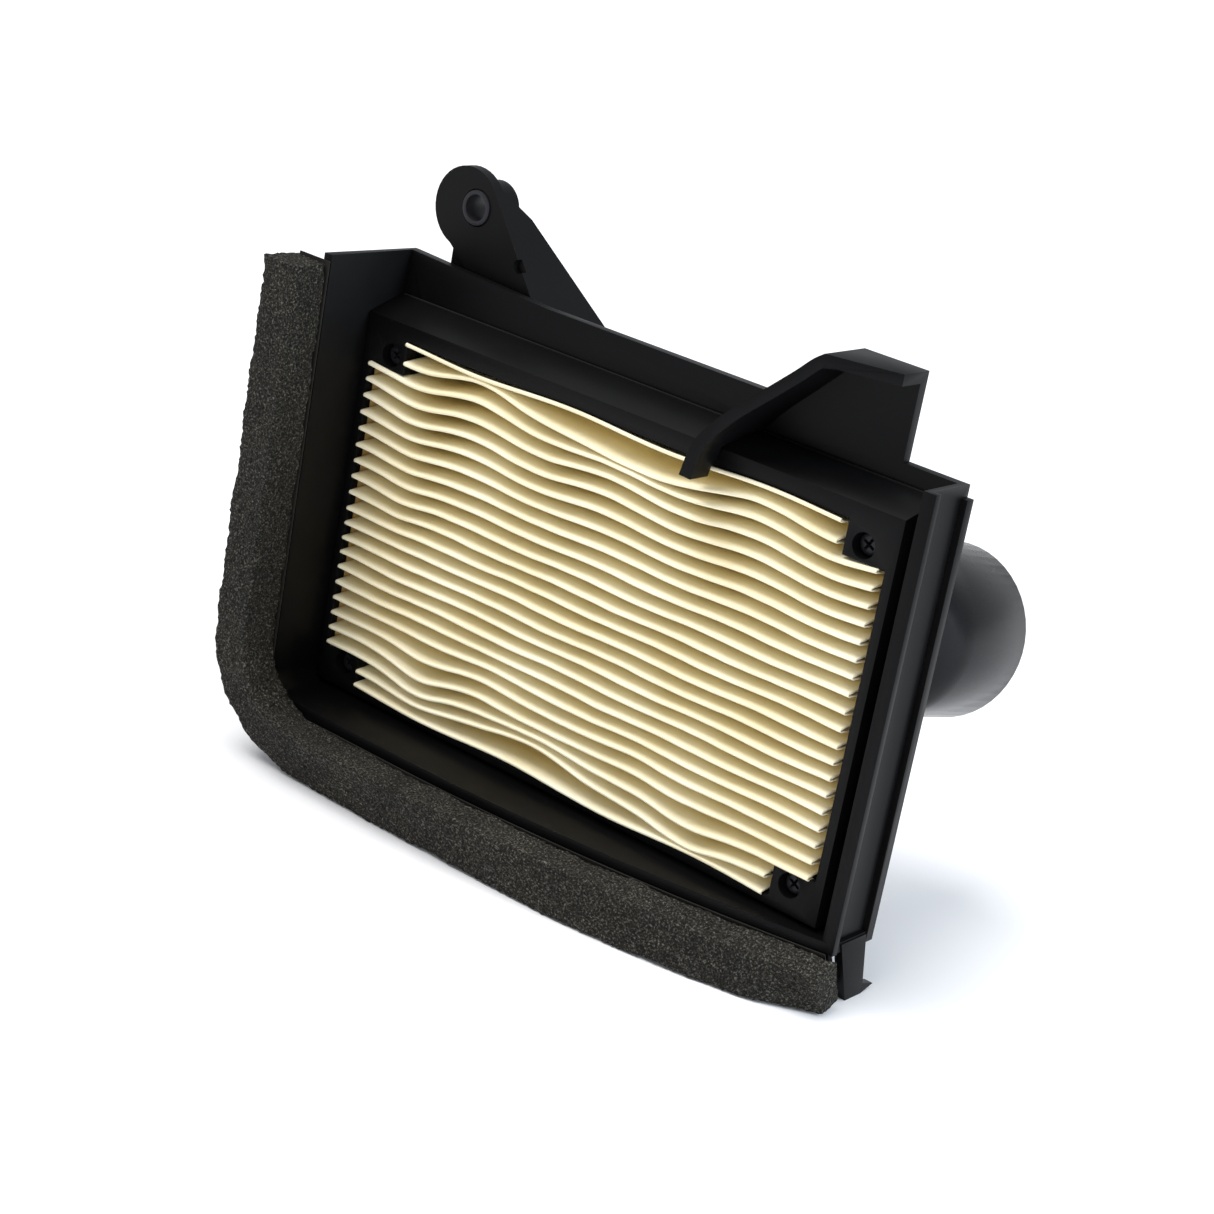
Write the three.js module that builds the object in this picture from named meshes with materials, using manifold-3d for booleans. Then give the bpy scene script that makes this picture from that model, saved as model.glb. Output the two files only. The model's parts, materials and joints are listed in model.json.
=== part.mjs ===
// Cassette air filter of a scooter engine: a pleated paper element screwed into a plastic front tray,
// with a rear shell, an outlet duct, a mounting ear and a foam seal along two edges of the tray.
// Millimetres. +X is right, +Y is back (towards the engine), +Z is up.
// The pieces are drawn from the lower left end of the pleat tips; the whole group is moved at the end
// so that the origin lies at the middle of the underside.
import * as THREE from "three";
import { mergeVertices } from "three/addons/utils/BufferGeometryUtils.js";
import Module from "manifold-3d";

const wasm = await Module();
wasm.setup();

// ---------------------------------------------------------------- driving dimensions
const fitGap = 0.3; // kept between pieces that touch
const reach = 1; // how far a cutter runs past what it cuts

const media = { width: 150, height: 87.2, depth: 20, pleats: 22, sheet: 0.9 };
const notch = { width: 11, pleats: 2 }; // pleats cut away at each corner for the screws
const glue = { width: 1.2, setback: 2 };

const tray = {
  wall: 2.5,
  plateFront: 13, // front of the plate, behind the pleat tips
  rimReach: 14, // rim in front of the pleat tips
  rimSetback: 14, // how far the rim has bent back at the right wall
  rimStraight: 40, // the bottom rim is straight up to this X
  leftGap: 3, // media to left wall
  leftDraft: 1.3, // the left wall's outside leans in by this much towards the plate
  floorGap: 3.6, // media to bottom wall
  rightGap: 5.8, // media to right wall
  riseLeft: 18.7, // plate above the media at its left end
  riseBend: 41, // X where its top edge levels out
  rise: 16.5, // plate above the media from there on
  riseRight: 12.1, // and right of the vane
  cornerRadius: 5, // inside corner of left wall and bottom wall
};
const groove = { web: 1.6, lip: 1.8, reach: 1.6, topDrop: 2.8, floorSetback: 0.4 };
const flange = { width: 10.4, thickness: 2, setback: 0.2, rake: 0.5, topDrop: 3 };
const foot = { height: 13.6, setback: 3, depth: 9.6, taper: 3.5, thickness: 2.2, tab: 4.5, tabHeight: 2.6 };
const vane = { rise: 32, thickness: 2.6, inset: 8, frontRight: 6, slant: 1 / 3 };

const bezel = { front: 1.2, top: 4.4, side: 2.6, bottom: 2.4, draftTop: 3.6, draftRight: 1.2 };
const elementGasket = 1;
const shellGasket = 0.8;

const shell = {
  wall: 2.5,
  depth: 30,
  taper: 15, // the back wall is this much further forward at its right end
  side: 4,
  top: 6,
  bottom: 3,
  radius: 8,
  lip: 2.4,
  lipThickness: 2.6,
  rightStart: 3, // the right wall is square to the plate this far, then leans in
  rightSlope: 0.86, // by this much for each mm of depth
};
const screw = { inset: 6, drop: 4.1, head: 2.6, headHeight: 2.2, shank: 1.4, length: 18, recess: 4.5 };
const post = { radius: 3.3 };

const duct = {
  root: 47,
  rootRadius: 14,
  diameter: 42,
  wall: 2.4,
  side: 33.5, // root centre, in from the media's right end
  rise: 58, // root centre, above the media's lower end
  straight: 25,
  overhang: 57.6, // end centre behind the shell's front face
  shift: 11.2, // end centre right of the root centre
  fall: 12.1, // end centre below the root centre
  tilt: 12,
};
const ductFlange = { width: 3, thickness: 2.4 };
const ductSeal = 1;

const ear = {
  x: 8.3, // centre of the round head
  rise: 31.7,
  head: 9.9,
  holeAside: 3.2, // the hole is off the head's centre
  holeAbove: 0.8,
  plate: 3,
  boss: 8,
  bossRadius: 6.4,
  lean: 37, // the arm's right edge leans by this angle
  leftLean: 52, // and its left edge by this one
  neck: 14, // the left edge turns upright this far above the shell
  pilot: 1.7,
  pilotAside: 18.9,
  pilotBelow: 9.2,
};
const gusset = { thickness: 2.6, top: 3, shoulder: 9.8, shoulderDrop: 6, bottom: 25 };
const brace = { left: 3.1, setback: 1.2, thickness: 2.8 }; // upright rib behind the arm's left edge
const bush = { outer: 8.4, bore: 6.2, proud: 0.4 };

const foam = { width: 10.8, thickness: 10.2, cornerRadius: 31, topDrop: 1.5 };
const tape = { thickness: 0.4, inset: 1 };

// ---------------------------------------------------------------- places worked out from them
const quarter = Math.PI / 2;
const radians = THREE.MathUtils.degToRad;
const pitch = media.height / media.pleats;
const notchHeight = notch.pleats * pitch;
const plateBack = tray.plateFront + tray.wall;
const leftInner = -tray.leftGap;
const leftOuter = leftInner - tray.wall;
const floorInner = -tray.floorGap;
const floorOuter = floorInner - tray.wall;
const webInner = media.width + tray.rightGap;
const webOuter = webInner + groove.web;
const sideEdge = webOuter + groove.reach; // the plate, the lip and the foot end here
const plateTop = media.height + tray.rise;
const plateTopLeft = media.height + tray.riseLeft;
const plateTopRight = media.height + tray.riseRight;
const rimFront = -tray.rimReach;
const rimRight = rimFront + tray.rimSetback;
const elementBack = tray.plateFront - elementGasket - 2 * fitGap;
const shellFront = plateBack + shellGasket + 2 * fitGap;
const shellBox = {
  left: -shell.side,
  right: media.width + shell.side,
  bottom: -shell.bottom,
  top: media.height + shell.top,
  back: shellFront + shell.depth,
};
const earHole = { x: ear.x + ear.holeAside, z: media.height + ear.rise + ear.holeAbove };
const screwSeat = bezel.front + screw.recess;
const screws = [
  { name: "screw_top_left", x: screw.inset, z: media.height - screw.drop },
  { name: "screw_top_right", x: media.width - screw.inset, z: media.height - screw.drop },
  { name: "screw_bottom_left", x: screw.inset, z: screw.drop },
  { name: "screw_bottom_right", x: media.width - screw.inset, z: screw.drop },
];

// ---------------------------------------------------------------- colours and finishes
const finish = {
  plastic: { color: 0x17171a, roughness: 0.55, metalness: 0 },
  gloss: { color: 0x1b1c20, roughness: 0.3, metalness: 0 },
  rubber: { color: 0x101012, roughness: 0.8, metalness: 0 },
  foam: { color: 0x3b3a36, roughness: 0.95, metalness: 0 },
  paper: { color: 0xf2e6c4, roughness: 0.85, metalness: 0 },
  glue: { color: 0xd9c48f, roughness: 0.6, metalness: 0 },
  steel: { color: 0x8d8f92, roughness: 0.35, metalness: 1 },
  tape: { color: 0xcfcabb, roughness: 0.8, metalness: 0 },
};

// ---------------------------------------------------------------- solids and booleans
function solidOf(geometry) {
  const bare = geometry.clone();
  bare.deleteAttribute("normal");
  bare.deleteAttribute("uv");
  const merged = mergeVertices(bare, 1e-4);
  const mesh = new wasm.Mesh({
    numProp: 3,
    vertProperties: merged.attributes.position.array,
    triVerts: new Uint32Array(merged.index.array),
  });
  return new wasm.Manifold(mesh);
}

function geometryOf(solid) {
  const mesh = solid.getMesh();
  const geometry = new THREE.BufferGeometry();
  geometry.setAttribute("position", new THREE.BufferAttribute(mesh.vertProperties, 3));
  geometry.setIndex(new THREE.BufferAttribute(mesh.triVerts, 1));
  const faceted = geometry.toNonIndexed();
  faceted.computeVertexNormals();
  return faceted;
}

const joined = (first, ...others) => others.reduce((sum, part) => sum.add(part), first);
const cut = (first, ...cutters) => cutters.reduce((left, part) => left.subtract(part), first);

// An outline is a list of [a, b] points or a THREE.Shape; a point that repeats the next one is dropped.
function extrusion(outline, depth, steps = 12) {
  const drawn = Array.isArray(outline) ? outline : outline.getPoints(steps).map(({ x, y }) => [x, y]);
  const points = drawn.filter(([a, b], i) => {
    const [c, d] = drawn[(i + 1) % drawn.length];
    return Math.hypot(a - c, b - d) > 1e-3;
  });
  const shape = new THREE.Shape(points.map(([a, b]) => new THREE.Vector2(a, b)));
  return new THREE.ExtrudeGeometry(shape, { depth, bevelEnabled: false });
}

// An outline in X and Z, given its thickness along Y.
function slabXZ(outline, front, back, steps) {
  const geometry = extrusion(outline, back - front, steps);
  geometry.rotateX(quarter);
  geometry.translate(0, back, 0);
  return solidOf(geometry);
}

// An outline in X and Y, given its thickness along Z.
function slabXY(outline, low, high, steps) {
  const geometry = extrusion(outline, high - low, steps);
  geometry.translate(0, 0, low);
  return solidOf(geometry);
}

// An outline in Y and Z, given its thickness along X.
function slabYZ(outline, left, right, steps) {
  const geometry = extrusion(outline, right - left, steps);
  const along = [new THREE.Vector3(0, 1, 0), new THREE.Vector3(0, 0, 1), new THREE.Vector3(1, 0, 0)];
  geometry.applyMatrix4(new THREE.Matrix4().makeBasis(...along));
  geometry.translate(left, 0, 0);
  return solidOf(geometry);
}

function box(left, right, front, back, bottom, top) {
  const geometry = new THREE.BoxGeometry(right - left, back - front, top - bottom);
  geometry.translate((left + right) / 2, (front + back) / 2, (bottom + top) / 2);
  return solidOf(geometry);
}

// A round bar along Y.
function barY(x, z, radius, front, back, sides = 32) {
  const geometry = new THREE.CylinderGeometry(radius, radius, back - front, sides);
  geometry.translate(x, (front + back) / 2, z);
  return solidOf(geometry);
}

function roundedRectangle(left, right, bottom, top, radius) {
  const shape = new THREE.Shape();
  shape.absarc(right - radius, bottom + radius, radius, -quarter, 0);
  shape.absarc(right - radius, top - radius, radius, 0, quarter);
  shape.absarc(left + radius, top - radius, radius, quarter, 2 * quarter);
  shape.absarc(left + radius, bottom + radius, radius, 2 * quarter, 3 * quarter);
  return shape;
}

// ---------------------------------------------------------------- outlines shared by several pieces
// The media's outline with its notched corners, grown by a clearance.
function mediaOutline(grow) {
  const right = media.width;
  const top = media.height;
  const across = notch.width;
  const up = notchHeight;
  return [
    [across - grow, -grow],
    [right - across + grow, -grow],
    [right - across + grow, up - grow],
    [right + grow, up - grow],
    [right + grow, top - up + grow],
    [right - across + grow, top - up + grow],
    [right - across + grow, top + grow],
    [across - grow, top + grow],
    [across - grow, top - up + grow],
    [-grow, top - up + grow],
    [-grow, up - grow],
    [across - grow, up - grow],
  ];
}

// The bottom rim seen from above runs straight, then bends back to the right wall along an arc.
const rimRun = webOuter - tray.rimStraight;
const rimRadius = (rimRun ** 2 + tray.rimSetback ** 2) / (2 * tray.rimSetback);
const rimSweep = Math.asin(rimRun / rimRadius);

// Points along the rim from a start X, moved back by an offset.
function rimLine(start, offset) {
  const count = 24;
  const straightCount = 6;
  const straight = Array.from({ length: straightCount }, (_, i) => [
    start + ((tray.rimStraight - start) * i) / straightCount,
    rimFront + offset,
  ]);
  const bent = Array.from({ length: count + 1 }, (_, i) => {
    const angle = (rimSweep * i) / count;
    return [
      tray.rimStraight + (rimRadius - offset) * Math.sin(angle),
      rimFront + rimRadius - (rimRadius - offset) * Math.cos(angle),
    ];
  });
  return [...straight, ...bent];
}

// A strip that hangs from the bottom wall along the rim; its lower edge rakes back more and more
// towards the right.
function hangingStrip(start, near, far, low, high) {
  const outline = [...rimLine(start, near), ...rimLine(start, far).reverse()];
  const geometry = extrusion(outline, high - low);
  geometry.translate(0, 0, low);
  const place = geometry.attributes.position;
  for (let i = 0; i < place.count; i += 1) {
    const along = THREE.MathUtils.clamp((place.getX(i) - start) / (webOuter - start), 0, 1);
    place.setY(i, place.getY(i) + flange.rake * along * (high - place.getZ(i)));
  }
  return solidOf(geometry);
}

// The lower left corner of a strip that runs down the left wall and on along the bottom wall.
function stripCorner(width, inner, radius, front, back) {
  const left = inner.x - width;
  const low = inner.z - width;
  const shape = new THREE.Shape();
  shape.moveTo(left, low + radius);
  shape.absarc(left + radius, low + radius, radius, 2 * quarter, 3 * quarter, false);
  shape.lineTo(left + radius, inner.z);
  shape.lineTo(inner.x, inner.z);
  shape.lineTo(inner.x, low + radius);
  return slabXZ(shape, front, back);
}

// ---------------------------------------------------------------- front tray
function plateWithOpening() {
  const step = media.width - vane.inset;
  const plate = slabXZ(
    [
      [leftOuter + tray.leftDraft, floorOuter],
      [sideEdge, floorOuter],
      [sideEdge, plateTopRight - groove.topDrop],
      [webOuter, plateTopRight - groove.topDrop],
      [webOuter, plateTopRight],
      [step, plateTopRight],
      [step, plateTop],
      [tray.riseBend, plateTop],
      [leftInner, plateTopLeft],
      [leftOuter + tray.leftDraft, plateTopLeft],
    ],
    tray.plateFront,
    plateBack,
  );
  const opening = slabXZ(mediaOutline(2 * fitGap), tray.plateFront - reach, plateBack + reach);
  const holes = screws.map(({ x, z }) =>
    barY(x, z, screw.shank + fitGap, tray.plateFront - reach, plateBack + reach, 16),
  );
  return cut(plate, opening, ...holes);
}

function trayWalls() {
  const leftWall = slabXY(
    [
      [leftOuter, rimFront],
      [leftInner, rimFront],
      [leftInner, plateBack],
      [leftOuter + tray.leftDraft, plateBack],
    ],
    floorOuter,
    plateTopLeft,
  );
  const floorRight = sideEdge - groove.floorSetback;
  const floorBack = [
    [floorRight, rimRight + groove.floorSetback],
    [floorRight, plateBack - groove.floorSetback],
    [webInner, plateBack],
    [leftOuter + tray.leftDraft, plateBack],
  ];
  const bottomWall = slabXY([...rimLine(leftOuter, 0), ...floorBack], floorOuter, floorInner);
  const fillet = new THREE.Shape();
  const radius = tray.cornerRadius;
  fillet.moveTo(leftInner - reach, floorInner - reach);
  fillet.lineTo(leftInner + radius, floorInner - reach);
  fillet.lineTo(leftInner + radius, floorInner);
  fillet.absarc(leftInner + radius, floorInner + radius, radius, -quarter, -2 * quarter, true);
  fillet.lineTo(leftInner - reach, floorInner + radius);
  const corner = slabXZ(fillet, rimFront, bezel.front - 2 * fitGap);
  const web = box(webInner, webOuter, rimRight, plateBack, floorOuter, plateTopRight);
  const lip = box(webInner, sideEdge, rimRight, rimRight + groove.lip, floorOuter, plateTopRight);
  return joined(leftWall, bottomWall, corner, web, lip);
}

// The flange that carries the foam, down the left wall and along the bottom wall.
function foamFlange() {
  const inner = { x: leftOuter, z: floorOuter };
  const outer = leftOuter - flange.width;
  const low = floorOuter - flange.width;
  const front = rimFront + flange.setback;
  const back = front + flange.thickness;
  const bend = low + foam.cornerRadius;
  const side = box(outer, leftInner - reach, front, back, bend, plateTopLeft - flange.topDrop);
  const corner = stripCorner(flange.width, inner, foam.cornerRadius, front, back);
  const start = outer + foam.cornerRadius - reach;
  const far = flange.setback + flange.thickness;
  const under = hangingStrip(start, flange.setback, far, low, floorOuter + tray.wall / 2);
  return joined(side, corner, under);
}

// The cheek behind the flange's right end, with a small pointed tab at the bottom.
function endFoot() {
  const low = floorOuter - foot.height;
  const front = rimRight + foot.setback;
  const lowFront = front + flange.rake * foot.height;
  const lowBack = lowFront + foot.depth - foot.taper;
  return slabYZ(
    [
      [front, floorInner - groove.floorSetback],
      [front + foot.depth, floorInner - groove.floorSetback],
      [lowBack, low + foot.tabHeight],
      [lowBack + foot.tab, low + foot.tabHeight / 2],
      [lowBack, low],
      [lowFront, low],
    ],
    sideEdge - foot.thickness,
    sideEdge,
  );
}

// The curved air vane: a sheet that rises from a tip in front of the pleats to a flat top.
// Its outer line is given by points left of the vane's right edge and below its top.
function vaneCurve() {
  const right = media.width - vane.inset;
  const top = media.height + vane.rise;
  const guide = [
    [41.3, 33.6],
    [39.6, 25.6],
    [34.5, 18.1],
    [26.3, 9.7],
    [21.6, 4.9],
    [18.6, 1.6],
    [16.6, 0],
  ];
  const points = guide.map(([aside, below]) => new THREE.Vector3(right - aside, 0, top - below));
  const curve = new THREE.CatmullRomCurve3(points);
  return [...curve.getPoints(24).map(({ x, z }) => [x, z]), [right, top]];
}

function airVane() {
  const outer = vaneCurve();
  const last = outer.length - 1;
  const inner = outer.map(([x, z], i) => {
    const [x0, z0] = outer[Math.max(i - 1, 0)];
    const [x1, z1] = i === last ? [x + reach, z] : outer[i + 1];
    const run = Math.hypot(x1 - x0, z1 - z0);
    return [x + ((z1 - z0) / run) * vane.thickness, z - ((x1 - x0) / run) * vane.thickness];
  });
  const [tipX, tipZ] = outer[0];
  const [right, top] = outer[last];
  const tipFront = vane.frontRight - vane.slant * (right - tipX);
  const sheet = slabXZ([...outer, ...inner.reverse()], tipFront, plateBack);
  const slant = slabXY(
    [
      [tipX, tipFront - reach],
      [right + reach, tipFront - reach],
      [right + reach, vane.frontRight + vane.slant * reach],
      [tipX, tipFront],
    ],
    tipZ - 2 * vane.thickness,
    top + reach,
  );
  const clear = elementEnvelope(2 * fitGap, tray.plateFront);
  const pleatRoom = slabXZ(mediaOutline(2 * fitGap), -2 * fitGap, media.depth);
  const onPlate = outer.filter(([, z]) => z > plateTop - vane.thickness);
  const web = slabXZ(
    [...onPlate, [right, plateTopRight - reach], [onPlate[0][0], plateTopRight - reach]],
    tray.plateFront,
    plateBack,
  );
  return joined(cut(sheet, slant, clear, pleatRoom), web);
}

function frontTray() {
  return joined(plateWithOpening(), trayWalls(), foamFlange(), endFoot(), airVane());
}

// ---------------------------------------------------------------- paper element
// The element frame's outside, grown by a clearance: its top and right faces have draft.
function elementEnvelope(grow, back) {
  const left = -bezel.side - grow;
  const right = media.width + bezel.side + grow;
  const bottom = -bezel.bottom - grow;
  const top = media.height + bezel.top + grow;
  const front = bezel.front - grow;
  const geometry = new THREE.BoxGeometry(right - left, back - front, top - bottom);
  geometry.translate((left + right) / 2, (front + back) / 2, (bottom + top) / 2);
  const place = geometry.attributes.position;
  for (let i = 0; i < place.count; i += 1) {
    const atBack = place.getY(i) > (front + back) / 2;
    if (atBack && place.getZ(i) > media.height) place.setZ(i, top + bezel.draftTop);
    if (atBack && place.getX(i) > media.width) place.setX(i, right + bezel.draftRight);
  }
  return solidOf(geometry);
}

function elementFrame() {
  const opening = slabXZ(mediaOutline(fitGap), bezel.front - reach, elementBack + reach);
  const front = bezel.front + glue.setback;
  const pocketWidth = glue.width + 2 * fitGap;
  const low = notchHeight;
  const high = media.height - notchHeight;
  const pockets = [-pocketWidth, media.width].map((left) =>
    box(left, left + pocketWidth, front, elementBack + reach, low, high),
  );
  const seats = screws.map(({ x, z }) =>
    barY(x, z, screw.head + fitGap, bezel.front - reach, screwSeat, 24),
  );
  const holes = screws.map(({ x, z }) =>
    barY(x, z, screw.shank + fitGap, screwSeat - reach, elementBack + reach, 16),
  );
  return cut(elementEnvelope(0, elementBack), opening, ...pockets, ...seats, ...holes);
}

// The bead that pots the pleat ends in the element frame.
function glueBead(left) {
  const front = bezel.front + glue.setback + fitGap;
  const low = notchHeight + fitGap;
  const high = media.height - notchHeight - fitGap;
  return box(left, left + glue.width, front, elementBack, low, high);
}

function elementSeal() {
  const back = tray.plateFront - fitGap;
  const ring = box(
    -bezel.side,
    media.width + bezel.side,
    back - elementGasket,
    back,
    -bezel.bottom,
    media.height + bezel.top + bezel.draftTop,
  );
  const opening = slabXZ(mediaOutline(2 * fitGap), back - elementGasket - reach, back + reach);
  const holes = screws.map(({ x, z }) =>
    barY(x, z, screw.shank + fitGap, back - elementGasket - reach, back + reach, 16),
  );
  return cut(ring, opening, ...holes);
}

// The folded sheet seen from the end: one zigzag of even thickness, its folds running along X.
function pleatedMedia() {
  const rise = pitch / 2;
  const flank = Math.hypot(media.depth, rise);
  const thick = (media.sheet * flank) / media.depth; // sheet thickness measured along Z
  const fold = (media.sheet * flank) / rise; // and along Y, at a fold
  const back = media.depth;
  const frontSide = [];
  const rearSide = [];
  for (let i = 0; i < media.pleats; i += 1) {
    const low = i * pitch;
    const tip = low + rise;
    frontSide.push([back - reach, low + thick / 2], [0, tip - thick / 4], [0, tip + thick / 4]);
    rearSide.push([back, low + thick / 2], [fold / 2 + reach, tip], [back, low + pitch - thick / 2]);
  }
  frontSide.push([back - reach, media.height - thick / 2], [back - reach, media.height]);
  const outline = [[back, 0], [back - reach, 0], ...frontSide, [back, media.height], ...rearSide.reverse()];
  const block = slabYZ(outline, 0, media.width);
  const across = notch.width + reach;
  const up = notchHeight + reach;
  const corners = [-reach, media.width - notch.width].flatMap((left) =>
    [-reach, media.height - notchHeight].map((low) =>
      box(left, left + across, -reach, back + reach, low, low + up),
    ),
  );
  return cut(block, ...corners);
}

// ---------------------------------------------------------------- screws and bush
function turned(profile, x, z, front, sides = 24) {
  const geometry = new THREE.LatheGeometry(profile.map(([r, y]) => new THREE.Vector2(r, y)), sides);
  geometry.translate(x, front, z);
  return solidOf(geometry);
}

function panScrew({ x, z }) {
  const seat = screw.headHeight;
  const end = seat + screw.length;
  const profile = [
    [0, end],
    [screw.shank / 2, end],
    [screw.shank, end - screw.shank],
    [screw.shank, seat],
    [screw.head, seat],
    [screw.head, seat / 3],
    [screw.head * 0.8, 0],
    [0, 0],
  ];
  return turned(profile.reverse(), x, z, screwSeat - fitGap - seat);
}

function earBush() {
  const front = shellFront - bush.proud;
  const back = front + ear.boss + 2 * bush.proud;
  const { x, z } = earHole;
  const sleeve = barY(x, z, bush.outer / 2, front, back, 36);
  return cut(sleeve, barY(x, z, bush.bore / 2, front - reach, back + reach, 36));
}

// ---------------------------------------------------------------- rear shell
// Everything behind the shell's back wall, moved back by an offset. The back wall runs nearer to the
// tray towards the right.
function behindShell(offset) {
  const { left, right, back } = shellBox;
  const slope = shell.taper / (right - left);
  const at = (x) => back + offset - slope * (x - left);
  const farLeft = left - 20;
  const farRight = right + 20;
  const far = back + 2 * duct.overhang;
  return slabXY(
    [
      [farLeft, at(farLeft)],
      [farRight, at(farRight)],
      [farRight, far],
      [farLeft, far],
    ],
    shellBox.bottom - 60,
    shellBox.top + 60,
  );
}

// Everything beyond the shell's right wall, moved out by an offset.
function besideShell(offset) {
  const { right, back } = shellBox;
  const near = shellFront + shell.rightStart;
  const shift = offset * Math.hypot(1, shell.rightSlope);
  const at = (y) => right + shift - shell.rightSlope * (y - near);
  const start = near - 20;
  const far = back + 20;
  return slabXY(
    [
      [at(start), start],
      [at(start) + 20, start],
      [at(start) + 20, far],
      [at(far), far],
    ],
    shellBox.bottom - 60,
    shellBox.top + 60,
  );
}

function shellBlock(inset, front) {
  const { left, right, bottom, top, back } = shellBox;
  const outline = roundedRectangle(
    left + inset,
    right - inset,
    bottom + inset,
    top - inset,
    shell.radius - inset,
  );
  return cut(slabXZ(outline, front, back + reach, 8), behindShell(-inset), besideShell(-inset));
}

function ductSection(inset) {
  const half = duct.root / 2 - inset;
  const x = media.width - duct.side;
  return roundedRectangle(x - half, x + half, duct.rise - half, duct.rise + half, duct.rootRadius - inset);
}

// The ear leans to the left: a round head on an arm, both of plate, with a deep web on the right
// and an upright rib behind its left edge.
const earBase = shellBox.top - shell.wall;

function earOutline() {
  const z = media.height + ear.rise;
  const lean = radians(ear.lean);
  const leftLean = radians(ear.leftLean);
  const tangent = [ear.x + ear.head * Math.cos(lean), z + ear.head * Math.sin(lean)];
  const baseRight = tangent[0] + (tangent[1] - earBase) * Math.tan(lean);
  const endAngle = 3 * quarter - radians(20);
  const leftEnd = [ear.x + ear.head * Math.cos(endAngle), z + ear.head * Math.sin(endAngle)];
  const neck = earBase + ear.neck;
  const neckX = leftEnd[0] + (leftEnd[1] - neck) * Math.tan(leftLean);
  const shape = new THREE.Shape();
  shape.moveTo(neckX, neck);
  shape.lineTo(neckX, earBase);
  shape.lineTo(baseRight, earBase);
  shape.absarc(ear.x, z, ear.head, lean, endAngle, false);
  return { shape, tangent, baseRight, leftEnd, neckX };
}

function mountingEar() {
  const { shape, tangent, baseRight, leftEnd, neckX } = earOutline();
  const plate = slabXZ(shape, shellFront, shellFront + ear.plate);
  const boss = barY(earHole.x, earHole.z, ear.bossRadius, shellFront, shellFront + ear.boss, 36);
  const run = [baseRight - tangent[0], earBase - tangent[1]];
  const length = Math.hypot(...run);
  const inward = [(run[1] / length) * gusset.thickness, (-run[0] / length) * gusset.thickness];
  const side = slabXZ(
    [
      tangent,
      [baseRight, earBase],
      [baseRight + inward[0], earBase + inward[1]],
      [tangent[0] + inward[0], tangent[1] + inward[1]],
    ],
    shellFront,
    shellFront + gusset.bottom,
  );
  const slope = slabYZ(
    [
      [shellFront + gusset.top, tangent[1]],
      [shellFront + gusset.shoulder, tangent[1] - gusset.shoulderDrop],
      [shellFront + gusset.bottom, shellBox.top],
      [shellFront + gusset.bottom + reach, shellBox.top],
      [shellFront + gusset.bottom + reach, tangent[1] + reach],
      [shellFront + gusset.top, tangent[1] + reach],
    ],
    ear.x - ear.head,
    baseRight + reach,
  );
  const rib = box(
    ear.x - brace.left,
    neckX + brace.thickness,
    shellFront + brace.setback,
    shellFront + brace.setback + brace.thickness,
    earBase,
    leftEnd[1],
  );
  const far = shellFront + ear.boss + reach;
  const bore = barY(earHole.x, earHole.z, bush.outer / 2 + fitGap, shellFront - reach, far, 36);
  const pilotX = ear.x + ear.pilotAside;
  const pilotZ = media.height + ear.rise - ear.pilotBelow;
  const pilot = barY(pilotX, pilotZ, ear.pilot, shellFront - reach, shellFront + ear.plate / 2, 16);
  return cut(joined(plate, boss, cut(side, slope), rib), bore, pilot);
}

function rearShell() {
  const inside = shellBlock(shell.wall, shellFront - reach);
  const lip = slabXZ(
    roundedRectangle(
      shellBox.left - shell.lip,
      shellBox.right + shell.lip,
      shellBox.bottom - shell.lip,
      shellBox.top + shell.lip,
      shell.radius,
    ),
    shellFront,
    shellFront + shell.lipThickness,
    8,
  );
  const posts = screws.map(({ x, z }) => barY(x, z, post.radius, shellFront, shellBox.back, 24));
  const bores = screws.map(({ x, z }) =>
    barY(x, z, screw.shank + fitGap, shellFront - reach, screwSeat + screw.length + reach, 16),
  );
  const mouth = slabXZ(ductSection(duct.wall), shellFront + shell.wall, shellBox.back + reach);
  const walls = cut(joined(shellBlock(0, shellFront), lip), inside);
  const within = -shell.wall / 2;
  const trimmedPosts = posts.map((bar) => cut(bar, behindShell(within), besideShell(within)));
  return cut(joined(walls, ...trimmedPosts, mountingEar()), mouth, ...bores);
}

function shellSeal() {
  const front = plateBack + fitGap;
  const ring = (grow) =>
    roundedRectangle(
      shellBox.left - grow,
      shellBox.right + grow,
      shellBox.bottom - grow,
      shellBox.top + grow,
      shell.radius,
    );
  const outer = slabXZ(ring(shell.lip - fitGap), front, front + shellGasket, 8);
  const inner = slabXZ(ring(-shell.wall), front - reach, front + shellGasket + reach, 8);
  return cut(outer, inner);
}

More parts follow.
